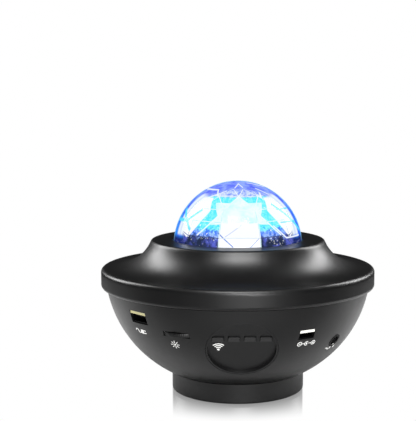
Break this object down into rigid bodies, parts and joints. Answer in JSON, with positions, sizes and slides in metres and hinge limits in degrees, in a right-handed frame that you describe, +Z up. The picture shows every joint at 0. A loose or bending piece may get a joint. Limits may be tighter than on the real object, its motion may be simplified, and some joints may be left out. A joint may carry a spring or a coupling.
{
  "type": "star night light projector",
  "caption": "Saucer-shaped star projector lamp on a round foot: a turning faceted prism under a clear dome, front buttons, a brightness wheel, and data, power and headphone sockets.",
  "frame": {"origin": "centre of the rubber feet's underside, on the table", "axes": "+Z up, -Y the front with the button panel, +X to the right seen from the front"},
  "size_m": [0.168, 0.168, 0.1292],
  "materials": {
    "housing_plastic": "satin",
    "panel_plastic": "satin",
    "inner_black": "satin",
    "foot_rubber": "matte",
    "screw_steel": "satin",
    "clear_plastic": "gloss",
    "prism_plastic": "gloss",
    "lamp_lens": "gloss",
    "white_plastic": "satin",
    "aluminium": "satin",
    "lamp_board": "satin",
    "brass": "satin",
    "motor_metal": "satin",
    "circuit_board": "satin",
    "chip_black": "satin",
    "capacitor_sleeve": "gloss",
    "socket_steel": "satin",
    "socket_cream": "satin",
    "socket_white": "satin",
    "speaker_steel": "satin",
    "magnet_ferrite": "matte",
    "cone_paper": "matte",
    "coil_copper": "satin",
    "wire_red": "satin",
    "wire_yellow": "satin",
    "wire_white": "satin"
  },
  "bodies": {
    "housing": {"lower_shell": "housing_plastic", "upper_cover": "housing_plastic", "foot_ring": "housing_plastic", "base_plate": "housing_plastic", "rubber_feet": "foot_rubber", "base_screws": "screw_steel", "case_screws": "screw_steel", "clear_dome": "clear_plastic", "dome_retainer": "inner_black", "retainer_screws": "screw_steel", "light_chassis": "white_plastic", "chassis_screws": "screw_steel", "heat_sink": "aluminium", "led_board": "lamp_board", "led_lenses": "lamp_lens", "laser_module": "brass", "grating_lens": "clear_plastic", "turntable_clip": "screw_steel", "gear_motor": "motor_metal", "motor_screws": "screw_steel", "main_board": "circuit_board", "control_chips": "chip_black", "capacitors": "capacitor_sleeve", "usb_sleeve": "socket_steel", "usb_tongue": "socket_cream", "power_sleeve": "socket_steel", "power_tongue": "socket_white", "headphone_jack": "inner_black", "dial_potentiometer": "inner_black", "dial_screw": "screw_steel", "button_panel": "panel_plastic", "button_board": "circuit_board", "button_board_screws": "screw_steel", "tact_switches": "socket_steel", "ir_receiver": "chip_black", "microphone": "motor_metal", "speaker_gasket": "inner_black", "speaker_frame": "speaker_steel", "speaker_magnet": "magnet_ferrite", "speaker_yoke": "screw_steel", "speaker_surround": "foot_rubber", "speaker_screws": "screw_steel", "speaker_wires": "wire_red", "motor_wires": "wire_red", "light_wires": "wire_yellow", "button_wires": "wire_white"},
    "turntable": {"turntable_gear": "white_plastic", "prism_dome": "prism_plastic"},
    "pinion": {"drive_pinion": "white_plastic", "motor_shaft": "screw_steel"},
    "wheel": {"brightness_wheel": "panel_plastic"},
    "key_1": {"button_1": "panel_plastic"},
    "key_2": {"button_2": "panel_plastic"},
    "key_3": {"button_3": "panel_plastic"},
    "key_4": {"button_4": "panel_plastic"},
    "cone": {"speaker_cone": "cone_paper", "dust_cap": "cone_paper", "voice_coil": "coil_copper"}
  },
  "joints": [
    {"name": "turntable_spin", "type": "hinge", "parent": "housing", "child": "turntable", "pos_m": [0, 0, 0], "axis": [0, 0, 1], "continuous": true},
    {"name": "pinion_spin", "type": "hinge", "parent": "housing", "child": "pinion", "pos_m": [0, 0.0382, 0], "axis": [0, 0, 1], "continuous": true},
    {"name": "wheel_turn", "type": "hinge", "parent": "housing", "child": "wheel", "pos_m": [-0.0312, -0.05606, 0.0484], "axis": [0, 0, 1], "range_deg": [-135, 135]},
    {"name": "button_1_press", "type": "slide", "parent": "housing", "child": "key_1", "axis": [0, 0.8487, 0.5288], "range_m": [0, 0.0005], "stiffness_N_per_m": 800},
    {"name": "button_2_press", "type": "slide", "parent": "housing", "child": "key_2", "axis": [0, 0.8487, 0.5288], "range_m": [0, 0.0005], "stiffness_N_per_m": 800},
    {"name": "button_3_press", "type": "slide", "parent": "housing", "child": "key_3", "axis": [0, 0.8487, 0.5288], "range_m": [0, 0.0005], "stiffness_N_per_m": 800},
    {"name": "button_4_press", "type": "slide", "parent": "housing", "child": "key_4", "axis": [0, 0.8487, 0.5288], "range_m": [0, 0.0005], "stiffness_N_per_m": 800},
    {"name": "cone_travel", "type": "slide", "parent": "housing", "child": "cone", "axis": [0, 0, 1], "range_m": [-0.0008, 0.0008], "stiffness_N_per_m": 2000, "deforming": ["speaker_surround"]}
  ],
  "couplings": [
    {"joint": "pinion_spin", "follows": "turntable_spin", "ratio": -5.3333}
  ]
}
